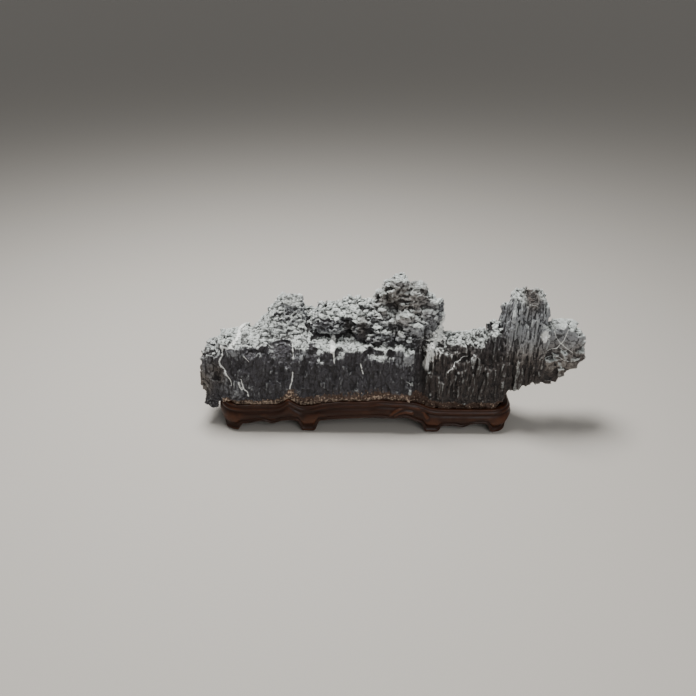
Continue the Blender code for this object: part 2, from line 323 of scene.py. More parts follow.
def lump_axes(normals, rng):
    """The directions across, along and out of a lump on each normal."""
    count = len(normals)
    on_top = np.abs(normals[:, 2]) > TOP_LOOK
    outward = normals.copy()
    outward[~on_top, 2] *= SIDE_LOOK
    outward += rng.normal(0, UNEVEN_LOOK, outward.shape)
    outward /= np.linalg.norm(outward, axis=1)[:, None]
    turn = rng.uniform(0, 2 * math.pi, count)
    upright = np.stack([LEFT_RIGHT_LEAN * np.sin(turn), np.zeros(count), np.ones(count)], 1)
    flat = np.stack([np.cos(turn), np.sin(turn), np.zeros(count)], 1)
    along = np.where(on_top[:, None], flat, upright)
    along -= outward * (along * outward).sum(1)[:, None]
    along /= np.linalg.norm(along, axis=1)[:, None]
    return np.stack([np.cross(along, outward), along, outward], 1)


def lump_blocks(points, normals, kinds, solid, rng):
    """Corners and faces of one block with knocked corners for each point."""
    count = len(points)
    sizes = np.array([(*kind.across, *kind.along, *kind.proud) for kind in KINDS])[kinds]
    across = rng.uniform(sizes[:, 0], sizes[:, 1])
    along = rng.uniform(sizes[:, 2], sizes[:, 3])
    proud = rng.uniform(sizes[:, 4], sizes[:, 5])
    axes = lump_axes(normals, rng)
    root = np.minimum(across, along) / 2 + LEAST_ROOT
    centres = points + axes[:, 2] * ((proud - root) / 2)[:, None]
    along = shortened(centres, axes[:, 1], along, solid)
    half = np.stack([across / 2, along / 2, (root + proud) / 2], 1)
    knocked = BLOCK_CORNERS * half[:, None] * rng.uniform(LEAST_CORNER, 1, (count, 8, 3))
    corners = centres[:, None] + np.einsum("nij,njk->nik", knocked, axes)
    faces = BLOCK_SIDES + 8 * np.arange(count)[:, None, None]
    return corners.reshape(-1, 3), faces.reshape(-1, 4)


def sample_surface(points, triangles, rng):
    """Points, normals and lump kinds spread over the surface at each kind's density."""
    corners = points[triangles]
    crossed = np.cross(corners[:, 1] - corners[:, 0], corners[:, 2] - corners[:, 0])
    twice_area = np.linalg.norm(crossed, axis=1)
    normals = crossed / np.maximum(twice_area, 1e-9)[:, None]
    kinds = lump_kind(corners.mean(axis=1), normals)
    density = np.array([kind.density for kind in KINDS])[kinds]
    wanted = twice_area / 2 / SQUARE_CENTIMETRE * density
    count = int(wanted.sum())
    chosen = rng.choice(len(triangles), count, p=wanted / wanted.sum())
    u, v = rng.uniform(0, 1, (2, count))
    fold = u + v > 1
    u[fold], v[fold] = 1 - u[fold], 1 - v[fold]
    a, b, c = (corners[chosen, i] for i in range(3))
    return a + u[:, None] * (b - a) + v[:, None] * (c - a), normals[chosen], kinds[chosen]


# The pieces between cracks: how many there are before they repeat, how far a piece's middle may
# be from its cell's, and how much of its relief is its height, besides its tilt.
PIECE_REPEAT = 53
PIECE_SHIFT = 0.42
PIECE_HEIGHT = 0.8
CRACK_WIDTH = 0.8
CRACK_DEPTH = 0.55
# How much smoother the boulders are.
BOULDER_CALM = 0.35
# Farther than any distance here that is counted in sizes.
FAR = 9.0


def broken_pieces(points, size, seed):
    """How a surface breaks into angular pieces of about the given size along X, Y and Z.

    For each point, returns how far it is from the border of its piece, in sizes, and how
    high the face of its piece stands there, from about -1 to 1.
    """
    rng = np.random.default_rng(seed)
    shift_height_tilt = rng.uniform(-1, 1, (PIECE_REPEAT, PIECE_REPEAT, PIECE_REPEAT, 7))
    grid = points / size
    home = np.floor(grid).astype(int)
    nearest = np.full(len(points), FAR)
    second = np.full(len(points), FAR)
    face = np.zeros(len(points))
    for step in itertools.product((-1, 0, 1), repeat=3):
        cell = home + step
        own = shift_height_tilt[tuple((cell % PIECE_REPEAT).T)]
        away = grid - (cell + 0.5 + PIECE_SHIFT * own[:, :3])
        distance = np.linalg.norm(away, axis=1)
        closer = distance < nearest
        second = np.where(closer, nearest, np.minimum(second, distance))
        nearest = np.where(closer, distance, nearest)
        tilted = PIECE_HEIGHT * own[:, 3] + (away * own[:, 4:]).sum(axis=1)
        face = np.where(closer, tilted, face)
    return second - nearest, face


def crack(mesh):
    """Breaks the mesh's surface into the pieces of each kind, in two sizes.

    Returns how deep in a crack each point is, from 0 to 1.
    """
    points = mesh_points(mesh)
    edges = mesh_edges(mesh)
    normals = smoothed(mesh_normals(mesh), edges, rounds=8)
    normals /= np.maximum(np.linalg.norm(normals, axis=1), 1e-6)[:, None]
    kinds = lump_kind(points, normals)
    share = smoothed(np.eye(len(KINDS))[kinds], edges, rounds=12)
    height = np.zeros(len(points))
    cracked = np.zeros(len(points))
    for number, kind in enumerate(KINDS):
        held = share[:, number] > 0.01
        for octave, scale in enumerate((1, 0.5)):
            size = np.array(kind.piece) * scale
            border, face = broken_pieces(points[held], size, 10 * number + octave)
            gap = np.exp(-((border * size.min() / CRACK_WIDTH) ** 2))
            weight = share[held, number] * scale
            height[held] += weight * (kind.relief * face - CRACK_DEPTH * gap)
            cracked[held] += weight * gap
    calm = 1 - BOULDER_CALM * on_boulder(points)
    set_points(mesh, points + (calm * height)[:, None] * normals)
    return np.clip(calm * cracked, 0, 1)


def displace(obj, name, noise_size, strength, stretch=1.0, group=""):
    """Pushes the surface in and out by clouds, stretched upright, where the group is.

    Returns the empty that stretches them, for removal once the modifier is applied.
    """
    texture = bpy.data.textures.new(name, "CLOUDS")
    texture.noise_scale = noise_size * MM
    guide = bpy.data.objects.new(name + "_guide", None)
    guide.scale = (1, 1, stretch)
    bpy.context.scene.collection.objects.link(guide)
    modifier = obj.modifiers.new(name, "DISPLACE")
    modifier.texture = texture
    modifier.texture_coords = "OBJECT"
    modifier.texture_coords_object = guide
    modifier.strength = strength * MM
    modifier.vertex_group = group
    return guide


# Big boulders that stand out of the broken masses: centre, and half width, depth and height.
BOULDERS = (
    (66, 47, 201, 11, 9, 8.5),
    (58, 43, 189, 7, 6, 6.5),
    (87, 42, 189, 8, 7, 4.5),
    (98, 46, 192, 4.5, 5, 8),
    (109, 42, 176, 9, 7, 8),
    (79, 42, 183, 13, 6, 2.8),
    (87, 40, 175.5, 8, 7, 3.8),
    (72, 40, 174, 9, 6, 3),
    (88, 39, 167, 10, 6, 3.2),
    (104, 37, 166, 5.5, 5, 4.5),
    (75, 31, 160, 13, 9, 6.5),
    (90, 26, 145, 9, 7, 9),
    (112, 38, 154, 6, 7, 13),
    (24, 58, 163, 6, 6, 8),
    (22, 56, 155, 7, 6, 6),
    (19, 44, 147, 6.5, 8, 10),
    (5, 60, 157, 9, 8, 6),
    (35, 45, 157, 7, 6, 6),
    (46, 36, 149, 7, 6, 8),
    (69, 16, 116, 9, 6, 8),
    (79, 12, 110, 8, 6, 9),
    (-77, 63, 163, 13, 10, 7),
)
# A boulder's corners: how square it is, where 1 is round, and how unevenly they stand out.
SQUARENESS = 0.75
UNEVEN_REACH = (0.82, 1.08)


def boulder_balls(rng):
    """Corners and faces of the uneven balls of BOULDERS."""
    bm = bmesh.new()
    bmesh.ops.create_icosphere(bm, subdivisions=2, radius=1)
    ball = np.array([vert.co[:] for vert in bm.verts])
    ball_faces = np.array([[vert.index for vert in face.verts] for face in bm.faces])
    bm.free()
    squared = np.sign(ball) * np.abs(ball) ** SQUARENESS
    corners = []
    for boulder in np.array(BOULDERS, float):
        uneven = squared * rng.uniform(*UNEVEN_REACH, (len(ball), 1))
        corners.append(boulder[:3] + uneven * boulder[3:])
    faces = ball_faces[None] + len(ball) * np.arange(len(BOULDERS))[:, None, None]
    return np.concatenate(corners), faces.reshape(-1, 3).tolist()


def on_boulder(points):
    """1 for the points on a boulder, 0 for those well away from all of them."""
    nearest = np.full(len(points), FAR)
    for boulder in np.array(BOULDERS, float):
        centre, half_size = boulder[:3], boulder[3:]
        nearest = np.minimum(nearest, np.linalg.norm((points - centre) / half_size, axis=1))
    return 1 - smooth_step(nearest, 1.1, 1.4)


# Masses that round off the underside of the head, the top of the pillar and the slope up to the
# left peak: left, right, front, back, low and high, and how far the left, right and front sides
# lean in by the top.
SLOPES = (
    (263, 280, 17, 34, 72, 98, -8, -8, -5),
    (224, 251, 32, 50, 164, 191, 0, 0, 2),
    (-150, -46, 22, 84, 100, 150, 46, 2, 40),
    (-122, -54, 36, 84, 125, 169, 30, 10, 26),
)


def slope_blocks():
    """Corners and faces of the blocks of SLOPES."""
    corners = []
    faces = []
    for left, right, front, back, low, high, lean_left, lean_right, lean_front in SLOPES:
        first = len(corners)
        for z, share in ((low, 0), (high, 1)):
            x = (left + share * lean_left, right - share * lean_right)
            y = (front + share * lean_front, back)
            corners += [(x[0], y[0], z), (x[1], y[0], z), (x[1], y[1], z), (x[0], y[1], z)]
        faces += [[first + i for i in (3, 2, 1, 0)], [first + i for i in (4, 5, 6, 7)]]
        for here, following in ((0, 1), (1, 2), (2, 3), (3, 0)):
            side = (here, following, following + 4, here + 4)
            faces.append([first + i for i in side])
    return np.array(corners, float), faces


# Hollows worn into the front: centre X, Y and Z, half width, half height and depth.
HOLLOWS = (
    (56, 12, 116, 5, 8, 9),
    (101, 10, 88, 4, 42, 7),
    (61, 42, 170, 7, 9, 8),
    (52, 42, 178, 4, 10, 7),
    (62, 28, 145, 5, 7, 5),
    (-88, 6, 121, 15, 9, 8),
    (-128, 4, 117, 7, 7, 4),
    (-47, 4, 118, 7, 8, 5),
    (-108, 5, 119, 6, 6, 4),
    (28, 5, 118, 7, 7, 5),
    (-22, 32, 129, 24, 4, 7),
    (1, 28, 140, 7, 12, 9),
    (232, 18, 193, 9, 5, 5),
)
# How far behind its Y a hollow begins to fade, and where it has.
HOLLOW_FADES = (14, 26)
# Saddles in the skyline: centre X, half width, and the height that they are worn down towards.
SADDLES = ((87, 9, 196), (229, 8, 197))
SADDLE_WEAR = 0.85


def hollow_out(points):
    """The points, with those near a hollow moved back into the rock, or down to a saddle."""
    moved = points.copy()
    for x, half_width, height in SADDLES:
        near = np.exp(-(((points[:, 0] - x) / half_width) ** 4))
        moved[:, 2] -= SADDLE_WEAR * near * np.maximum(points[:, 2] - height, 0)
    fade_from, fade_to = HOLLOW_FADES
    for x, y, z, half_width, half_height, depth in HOLLOWS:
        across = (points[:, 0] - x) / half_width
        up = (points[:, 2] - z) / half_height
        in_front = 1 - smooth_step(points[:, 1], y + fade_from, y + fade_to)
        moved[:, 1] += depth * (np.exp(-(across**2 + up**2) ** 1.5) * in_front)
    return moved


def rough_rock(rng):
    """The shrunk solid, its slopes, lumps and boulders, all in one mesh but not yet fused."""
    solid = welded(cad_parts["stone"].data)
    triangles = mesh_triangles(solid).tolist()
    shrunk = mesh_points(solid) - INSET * mesh_normals(solid)
    body = joined((shrunk, triangles), slope_blocks())
    tree = BVHTree.FromPolygons(body[0].tolist(), body[1])
    spread = sample_surface(body[0], split_in_triangles(body[1]), rng)
    return new_object("rock", *joined(body, lump_blocks(*spread, tree, rng), boulder_balls(rng)))


def fuse(rock):
    """Makes one closed skin of the pieces."""
    remesh = rock.modifiers.new("fuse", "REMESH")
    remesh.mode = "VOXEL"
    remesh.voxel_size = VOXEL * MM
    apply_modifiers(rock)
    keep_largest_body(rock.data)


def roughen(rock, facing):
    """Streaks the steep sides and gives all of it grit."""
    steep = 1 - smooth_step(np.abs(facing[:, 2]), 0.35, 0.8)
    add_vertex_group(rock, "steep", steep)
    guides = [
        displace(rock, "streaks", noise_size=2.0, strength=1.0, stretch=4, group="steep"),
        displace(rock, "grit", noise_size=1.4, strength=0.6),
    ]
    apply_modifiers(rock)
    for guide in guides:
        bpy.data.objects.remove(guide)


def thin_out(rock, facing):
    """Brings the rock down to MOST_TRIANGLES, with more of them kept in front."""
    behind = smooth_step(smoothed(facing, mesh_edges(rock.data), rounds=8)[:, 1], -0.1, 0.4)
    thinning = FRONT_THINNING + (1 - FRONT_THINNING) * behind
    add_vertex_group(rock, "away_from_the_front", thinning)
    fewer = rock.modifiers.new("fewer_faces", "DECIMATE")
    fewer.ratio = min(1, MOST_TRIANGLES / (2 * len(rock.data.polygons)))
    fewer.vertex_group = "away_from_the_front"
    apply_modifiers(rock)


def make_rock():
    rock = rough_rock(np.random.default_rng(SEED))
    fuse(rock)
    edges = mesh_edges(rock.data)
    set_points(rock.data, hollow_out(smoothed(mesh_points(rock.data), edges, rounds=1)))
    set_attribute(rock.data, "crack", crack(rock.data))
    facing = smoothed(mesh_normals(rock.data), edges, rounds=4)
    roughen(rock, facing)
    paint_rock(rock.data)
    thin_out(rock, facing)
    rock.data.shade_smooth()
    rock.data.set_sharp_from_angle(angle=SHARP_ANGLE)
    return rock


# Marks on the rock's front: (X, Z) points along each, and its half width.
VEINS = (
    (((-142, 130), (-149, 124), (-157, 120), (-165, 121)), 1.6),
    (((-165, 119), (-166, 109), (-170, 103), (-169, 97), (-163, 89), (-161, 82)), 1.1),
    (((-161, 82), (-157, 75), (-156, 69)), 0.9),
    (((-142, 76), (-141, 70), (-139, 62), (-135, 57), (-134, 51)), 0.8),
    (((-145, 73), (-145, 67), (-142, 63), (-139, 62)), 0.6),
    (((-73, 88), (-74, 78), (-77, 66)), 0.9),
    (((-73, 122), (-72, 112)), 0.9),
    (((-136, 111), (-131, 105)), 0.5),
    (((-21, 130), (-19, 120), (-18, 106)), 0.9),
    (((17, 101), (18, 97)), 0.8),
    (((19, 92), (20, 88)), 0.8),
    (((133, 90), (141, 101), (152, 107), (160, 109)), 0.6),
    (((129, 145), (122, 135), (115, 124)), 9),
    (((116, 126), (110, 113), (106, 98)), 4.5),
    (((264, 118), (276, 121), (284, 136), (287, 150)), 0.5),
    (((266, 152), (272, 138), (280, 128), (296, 117)), 0.45),
    (((262, 108), (276, 112), (292, 105), (306, 108)), 0.35),
)  # fmt: skip

# Soft patches: centre X and Z, half width, half height, and how strong they are.
# Broad patches of calcite:
WHITE_PATCHES = ((255, 143, 6, 9, 1), (-20, 122, 4, 6, 1))
# Where the sides are paler:
PALE_PATCHES = (
    (75, 172, 62, 44, 0.75),
    (-80, 160, 40, 26, 0.6),
    (-15, 141, 40, 12, 0.35),
    (76, 108, 15, 15, 0.45),
    (112, 128, 12, 28, 0.6),
    (145, 122, 44, 11, 0.3),
    (236, 156, 30, 50, 0.95),
    (288, 138, 36, 31, 0.95),
    (282, 104, 30, 16, 0.5),
    (-60, 114, 9, 7, 0.6),
    (-150, 112, 14, 6, 0.5),
    (-150, 62, 26, 22, 0.25),
    (-192, 88, 16, 44, 0.25),
    (-130, 92, 60, 36, 0.05),
)
# The faint tan weathering at the left end:
SMUDGES = ((-196, 66, 12, 20, 0.6), (-176, 84, 14, 16, 0.35))
# Where the bare stone is brown, besides the columns:
BROWN_PATCHES = ((68, 178, 42, 28, 0.8),)
# Darker patches, most of them on the hollows, the saddles and under the head:
DARK_PATCHES = (
    (19, 143, 8, 15, 0.8),
    (1, 139, 8, 12, 0.7),
    (236, 190, 12, 16, 1.0),
    (270, 84, 16, 9, 0.7),
    (-196, 108, 12, 10, 0.3),
    (53, 176, 7, 13, 0.6),
    (98, 193, 6, 9, 0.7),
    (-77, 168, 14, 5, 0.35),
    (62, 143, 8, 8, 0.5),
    (61, 170, 9, 10, 0.6),
    (44, 182, 6, 10, 0.4),
    (86, 194, 8, 9, 0.6),
)
# Tan crust away from the foot, or thicker there, and where it is orange:
TAN_PATCHES = ((-76, 56, 9, 10, 0.9), (20, 58, 60, 7, 0.5))
ORANGE_CRUST = ((-76, 56, 8, 9, 0.65),)
# Bare dark chips in the left brow, as seen from above: their centres are X and Y.
BARE_CHIPS = (
    (-88, 19, 17, 16, 0.95),
    (-128, 12, 7, 7, 0.7),
    (-47, 17, 7, 11, 0.8),
    (-108, 15, 6, 7, 0.6),
    (28, 12, 7, 7, 0.6),
)

# Dust, with painted top light, lies where the rock leans back from upright, seen over a wide
# and a narrow area around.
WIDE_LEAN = (0.12, 0.7)
NARROW_LEAN = (0.0, 0.75)
NARROW_SHARE = 0.4
THIN_DUST_AND_TOP_LIGHT = 0.1
# Less lies on the sides of the columns, the left end and the edge of the left brow.
COLUMNS_START = (105, 125)
COLUMNS_END = (250, 262)
COLUMNS_TOP = (108, 126)
COLUMNS_CLEAN = 0.95
LEFT_END = (-190, -172)
LEFT_END_CLEAN = 0.5
BROW_FRONT = (8, 24)
BROW_END = (-70, -50)
BROW_CLEAN = 0.8
# The crust along the foot of the rock, at the left, in the middle and at the right: how high it
# reaches above the stand's rim, and how much pale lace is in it.
CRUST_HEIGHTS = (8, 16, 10)
CRUST_CHANGES = ((-95, -80), (100, 125))
LACE_SHARES = (1.3, 0.8, 0.0)
LACE_CHANGES = ((-90, -60), (60, 110))
LACE_HEIGHT = (1, 6)
LACE_BEHIND = 0.35
# Brown stone: from where along the rock, and from where down.
BROWN_START = (80, 110)
BROWN_TOP = (100, 150)
# How deep a narrow or a wide dip is where its painted shade darkens the stone most.
CREVICE_DIP = 0.7
HOLLOW_DIP = 3.0
# How far out a vein's noisy edges may reach, in half widths.
VEIN_REACH = (1.5, 3)
FARTHEST_SIDE = 4


def path_distance(points, path):
    """Distance in X and Z from each point to a path of straight runs, and to its left or right."""
    flat = points[:, (0, 2)]
    best = np.full(len(points), 1e9)
    side = np.zeros(len(points))
    for start, end in zip(np.array(path[:-1], float), np.array(path[1:], float)):
        run = end - start
        t = np.clip(((flat - start) @ run) / (run @ run), 0, 1)
        gap = np.linalg.norm(flat - start - t[:, None] * run, axis=1)
        offset = flat - start
        across = (run[0] * offset[:, 1] - run[1] * offset[:, 0]) / np.linalg.norm(run)
        side = np.where(gap < best, across, side)
        best = np.minimum(best, gap)
    return best, side


def patches(points, listed, axis=2):
    """How far inside any of the listed soft ellipses each point is, from 0 to 1.

    The ellipses lie in X and the other axis, which is 2 for Z or 1 for Y.
    """
    inside = np.zeros(len(points))
    for x, other, half_width, half_height, amount in listed:
        far = ((points[:, 0] - x) / half_width) ** 2
        far += ((points[:, axis] - other) / half_height) ** 2
        inside = np.maximum(inside, amount * np.exp(-(far**1.5)))
    return inside


def in_three_parts(x, values, changes):
    """The left, middle or right value at each X, changing smoothly over two stretches."""
    left, middle, right = values
    first, second = changes
    value = left + (middle - left) * smooth_step(x, *first)
    return value + (right - middle) * smooth_step(x, *second)


def nearest_vein(points):
    """How far each point is from the nearest vein, and to which side, in half widths."""
    nearest = np.full(len(points), 1e9)
    side = np.full(len(points), 1e9)
    for path, half_width in VEINS:
        gap, across = path_distance(points, path)
        closer = gap / half_width < nearest
        nearest = np.where(closer, gap / half_width, nearest)
        side = np.where(closer, across / half_width, side)
    return nearest, side


def rock_dust_and_top_light(points, narrow_lean, wide_lean):
    """How dusty, with painted top light, each point is, from 0 to about 1."""
    x, y, z = points.T
    narrow = smooth_step(narrow_lean, *NARROW_LEAN)
    wide = smooth_step(wide_lean, *WIDE_LEAN)
    dust_and_top_light = wide * (1 - NARROW_SHARE + NARROW_SHARE * narrow) + THIN_DUST_AND_TOP_LIGHT * narrow
    columns = smooth_step(x, *COLUMNS_START) * (1 - smooth_step(x, *COLUMNS_END))
    dust_and_top_light *= 1 - COLUMNS_CLEAN * columns * (1 - smooth_step(z, *COLUMNS_TOP))
    dust_and_top_light *= 1 - LEFT_END_CLEAN * (1 - smooth_step(x, *LEFT_END))
    brow = (1 - smooth_step(y, *BROW_FRONT)) * (1 - smooth_step(x, *BROW_END))
    return dust_and_top_light * ((1 - BROW_CLEAN * brow) * (1 - patches(points, BARE_CHIPS, axis=1)))


def rock_crust(points, in_front):
    """How crusted each point is along the rock's foot, and how much pale lace is in that."""
    x = points[:, 0]
    above_rim = points[:, 2] - wave(RIM_WAVE, x)
    on_stand = smooth_step(x, STAND_LEFT - 6, STAND_LEFT)
    height = in_three_parts(x, CRUST_HEIGHTS, CRUST_CHANGES)
    crust = (1 - smooth_step(above_rim / height, 0.3, 1)) * on_stand
    lace = (1 - smooth_step(above_rim, *LACE_HEIGHT)) * on_stand
    lace *= in_three_parts(x, LACE_SHARES, LACE_CHANGES)
    lace = np.maximum(lace, patches(points, ORANGE_CRUST))
    return crust, lace * (LACE_BEHIND + (1 - LACE_BEHIND) * in_front)


def paint_rock(mesh):
    """Writes what the rock's material reads: dust and painted top light, painted shade, veins,
    crust.
    """
    points = mesh_points(mesh)
    normals = mesh_normals(mesh)
    edges = mesh_edges(mesh)
    narrow_dip = ((smoothed(points, edges, rounds=14) - points) * normals).sum(axis=1)
    wide_dip = ((smoothed(points, edges, rounds=110) - points) * normals).sum(axis=1)
    narrow_lean = smoothed(normals, edges, rounds=7)[:, 2]
    wide_lean = smoothed(normals, edges, rounds=45)[:, 2]
    in_front = 1 - smooth_step(normals[:, 1], 0.0, 0.5)
    vein_distance, vein_side = nearest_vein(points)
    crust, lace = rock_crust(points, in_front)
    x, _, z = points.T
    brown = smooth_step(x, *BROWN_START) * (1 - smooth_step(z, *BROWN_TOP))
    looks = {
        "dust_and_top_light": rock_dust_and_top_light(points, narrow_lean, wide_lean),
        "pale_patch": patches(points, PALE_PATCHES),
        "brown": np.maximum(brown, patches(points, BROWN_PATCHES)),
        "dark_patch": patches(points, DARK_PATCHES) * in_front,
        "smudge": patches(points, SMUDGES) * in_front,
        "crevice": np.clip(narrow_dip / CREVICE_DIP, -1, 1),
        "hollow": np.clip(wide_dip / HOLLOW_DIP, -1, 1),
        "vein_side": np.clip(vein_side, -FARTHEST_SIDE, FARTHEST_SIDE),
        "near_vein": (1 - smooth_step(vein_distance, *VEIN_REACH)) * in_front,
        "white": patches(points, WHITE_PATCHES) * in_front,
        "tan": np.maximum(patches(points, TAN_PATCHES) * in_front, crust),
        "lace": lace,
    }
    for name, values in looks.items():
        set_attribute(mesh, name, values)


# The stand

RECESS_FLOOR = 30.0
RECESS_INSET = 5.5
UNDERSIDE = 24.0
MOULDING_HEIGHT = 10.0
FOOT_CENTRES = (-158.0, -53.0, 116.0, 206.0)
FOOT_HALF_WIDTH = 7.5
FOOT_FLANK = 7.0
# How far to each side of a foot's centre its knee swells, and its neck draws the section in.
KNEE_REACH = 13.0
NECK_REACH = 14.0
STATION_STEP = 2.2
END_FLARE = 5.0
# How much higher the rim is behind, from which Y on, and the heights between which that grows.
BACK_RISE = 2.6
BACK_RISE_TO = STAND_BACK - 12
BACK_RISE_HEIGHTS = (22, 33)

# The heights of the rim and of the apron's lower edge along the front: (X, Z) points.
RIM_WAVE = (
    (-205, 48), (-185, 46.5), (-168, 42), (-150, 40), (-100, 40.5), (-88, 44), (-80, 49.5),
    (-72, 44.5), (-62, 39.5), (-50, 39.5), (-35, 43), (-10, 46), (28, 47), (42, 49.5),
    (60, 48.5), (88, 47), (100, 43.5), (112, 38), (128, 36), (195, 36.4), (230, 39),
)  # fmt: skip
APRON_WAVE = (
    (-180, 11), (-140, 10.5), (-116, 15.5), (-103, 11), (-90, 15.5), (-76, 16.5), (-50, 15),
    (-16, 19), (32, 22), (62, 21), (80, 22.5), (98, 15), (116, 10), (148, 10), (158, 7.5),
    (170, 12.5), (184, 13.5), (205, 11), (230, 12),
)  # fmt: skip


def wave(wave_points, along):
    """The heights at distances along a smooth curve through the points."""
    known = np.array(wave_points, float)
    x, z = known[:, 0], known[:, 1]
    slope = np.empty(len(x))
    slope[1:-1] = (z[2:] - z[:-2]) / (x[2:] - x[:-2])
    slope[0] = slope[-1] = 0
    along = np.clip(along, x[0], x[-1])
    i = np.clip(np.searchsorted(x, along) - 1, 0, len(x) - 2)
    width = x[i + 1] - x[i]
    t = (along - x[i]) / width
    return (
        (2 * t**3 - 3 * t**2 + 1) * z[i]
        + (t**3 - 2 * t**2 + t) * width * slope[i]
        + (3 * t**2 - 2 * t**3) * z[i + 1]
        + (t**3 - t**2) * width * slope[i + 1]
    )


def foot_distance(along):
    """Signed distance to the nearest foot's centre."""
    offsets = along[:, None] - np.array(FOOT_CENTRES)
    return offsets[np.arange(len(along)), np.abs(offsets).argmin(axis=1)]


def outline(along):
    """Places and outward directions at distances along the front half of the outline."""
    straight_left = STAND_LEFT + STAND_CORNER
    straight_right = STAND_RIGHT - STAND_CORNER
    side = np.where(along < straight_left, -1, np.where(along > straight_right, 1, 0))
    past = np.maximum(np.maximum(straight_left - along, along - straight_right), 0)
    angle = np.minimum(past / STAND_CORNER, math.pi / 2)
    outward = np.stack([side * np.sin(angle), -np.cos(angle), np.zeros(len(along))], 1)
    centre_x = np.clip(along, straight_left, straight_right)
    extra = np.maximum(past - STAND_CORNER * math.pi / 2, 0)
    centre_y = STAND_FRONT + STAND_CORNER + extra
    centre = np.stack([centre_x, centre_y, np.zeros(len(along))], 1)
    return centre + STAND_CORNER * outward, outward


def stand_section(along):
    """(offset, height, pinch) rows of the section, from the underside out and over the rim.

    pinch draws the points of a row together round each foot, which gives the foot its neck.
    """
    rim = wave(RIM_WAVE, along)
    near_foot = np.abs(foot_distance(along))
    foot = smooth_step(FOOT_HALF_WIDTH + FOOT_FLANK - near_foot, 0, FOOT_FLANK)
    knee = np.exp(-((near_foot / KNEE_REACH) ** 2))
    past = np.maximum(STAND_LEFT + STAND_CORNER - along, along - STAND_RIGHT + STAND_CORNER)
    flare = END_FLARE * smooth_step(past, 0, STAND_CORNER * math.pi / 2)
    low = wave(APRON_WAVE, along) * (1 - foot)
    apron = rim - MOULDING_HEIGHT - low
    zero = np.zeros(len(along))
    return (
        # The underside and the lower edge
        (zero - 16, zero + UNDERSIDE, 0),
        (zero - 10.5, low + 1.5 * (1 - foot) + (UNDERSIDE - 6 - low) * 0.3 * (1 - foot), 0),
        (zero - 9.6, low, 0),
        (-3 + 0.4 * flare, low, 0),
        (0.3 + 0.3 * foot + 0.6 * flare, low, 0),
        # The bead along the lower edge, which becomes the foot's toe
        (1.3 + 0.7 * foot + 0.6 * flare, low + 0.6 + 0.2 * foot, -0.05),
        (1.6 + 1.4 * foot + 0.6 * flare, low + 1.6 + 0.5 * foot, -0.1),
        (1.2 + 1.7 * foot + 0.6 * flare, low + 2.5 + 1.2 * foot, -0.08),
        (0.6 + 1.2 * foot + 0.6 * flare, low + 3.3 + 1.8 * foot, 0.05),
        (0.5 + 0.1 * foot + 0.7 * flare, low + 4.2 + 2.2 * foot, 0.2),
        (1.2 + 0.8 * flare, low + 5.8 + 3.2 * foot, 0.2),
        # The bulging apron, with a knee over each foot
        (2.2 + 0.3 * knee + 0.9 * flare, low + 0.3 * apron + 1 + 3 * foot, 0.1),
        (3.2 + 0.9 * knee + flare, low + 0.45 * apron + 1, 0),
        (3.7 + 1.1 * knee + flare, low + 0.6 * apron + 0.5, 0),
        (3.6 + 0.9 * knee + flare, low + 0.75 * apron, 0),
        (2.8 + 0.4 * knee + flare, low + 0.9 * apron, 0),
        # The moulding: a groove, a bead, another groove and the rim's own round edge
        (1.7 + flare, rim - 9.9, 0),
        (1.3 + flare, rim - 9.0, 0),
        (1.9 + flare, rim - 7.8, 0),
        (2.6 + 0.9 * flare, rim - 6.3, 0),
        (2.4 + 0.8 * flare, rim - 4.8, 0),
        (1.5 + 0.7 * flare, rim - 3.6, 0),
        (0.9 + 0.6 * flare, rim - 2.9, 0),
        (1.1 + 0.6 * flare, rim - 2.0, 0),
        (1.0 + 0.5 * flare, rim - 0.9, 0),
        (0.1 + 0.5 * flare, rim - 0.1, 0),
        (-0.9 + 0.4 * flare, rim, 0),
        (-3.6 + 0.2 * flare, rim - 0.2, 0),
        # The recess
        (-4.9 + zero, rim - 1.0, 0),
        (-RECESS_INSET + zero, rim - 3.0, 0),
        (-RECESS_INSET + zero, zero + RECESS_FLOOR, 0),
        (-RECESS_INSET - 1 + zero, zero + RECESS_FLOOR, 0),
    )


# The scroll carved where the stand steps down: (X, Z) points along its two strokes.
SCROLL = (
    ((58, 27), (63, 33), (72, 38), (84, 39.5), (95, 37.5), (103, 32), (108, 25)),
    ((64, 27), (70, 31.5), (79, 33.5), (87, 32)),
)
SCROLL_HALF_WIDTH = 2.6
SCROLL_HEIGHT = 1.7


def stand_rings(along):
    """The rings of points round the stand, one for each row of its section."""
    middle_y = (STAND_FRONT + STAND_BACK) / 2
    to_foot = foot_distance(along)
    rings = []
    for offset, height, pinch in stand_section(along):
        place, outward = outline(along - pinch * to_foot * np.exp(-((to_foot / NECK_REACH) ** 4)))
        front = place + outward * offset[:, None]
        front[:, 2] = height
        back = front[-2:0:-1].copy()
        back[:, 1] = 2 * middle_y - back[:, 1]
        is_wavy = np.ptp(height) > 1e-6
        lift = BACK_RISE * is_wavy * smooth_step(back[:, 1], middle_y, BACK_RISE_TO)
        back[:, 2] += lift * smooth_step(back[:, 2], *BACK_RISE_HEIGHTS)
        rings.append(np.concatenate([front, back]))
    return rings


def stand_faces(ring_count, size, station_count):
    """Faces between the rings, which have size points each, and across the first and last.

    The first station_count points of a ring are its front. Its back runs the other way.
    """
    here = np.arange(size)
    following = (here + 1) % size
    faces = []
    for ring in range(ring_count - 1):
        low, high = ring * size, (ring + 1) * size
        faces += np.stack([low + here, low + following, high + following, high + here], 1).tolist()
    for i in range(station_count - 1):
        behind = [-j % size for j in (i + 1, i) if j not in (0, station_count - 1)]
        across = [i, i + 1] + behind
        faces.append(across[::-1])
        faces.append([(ring_count - 1) * size + j for j in across])
    return faces


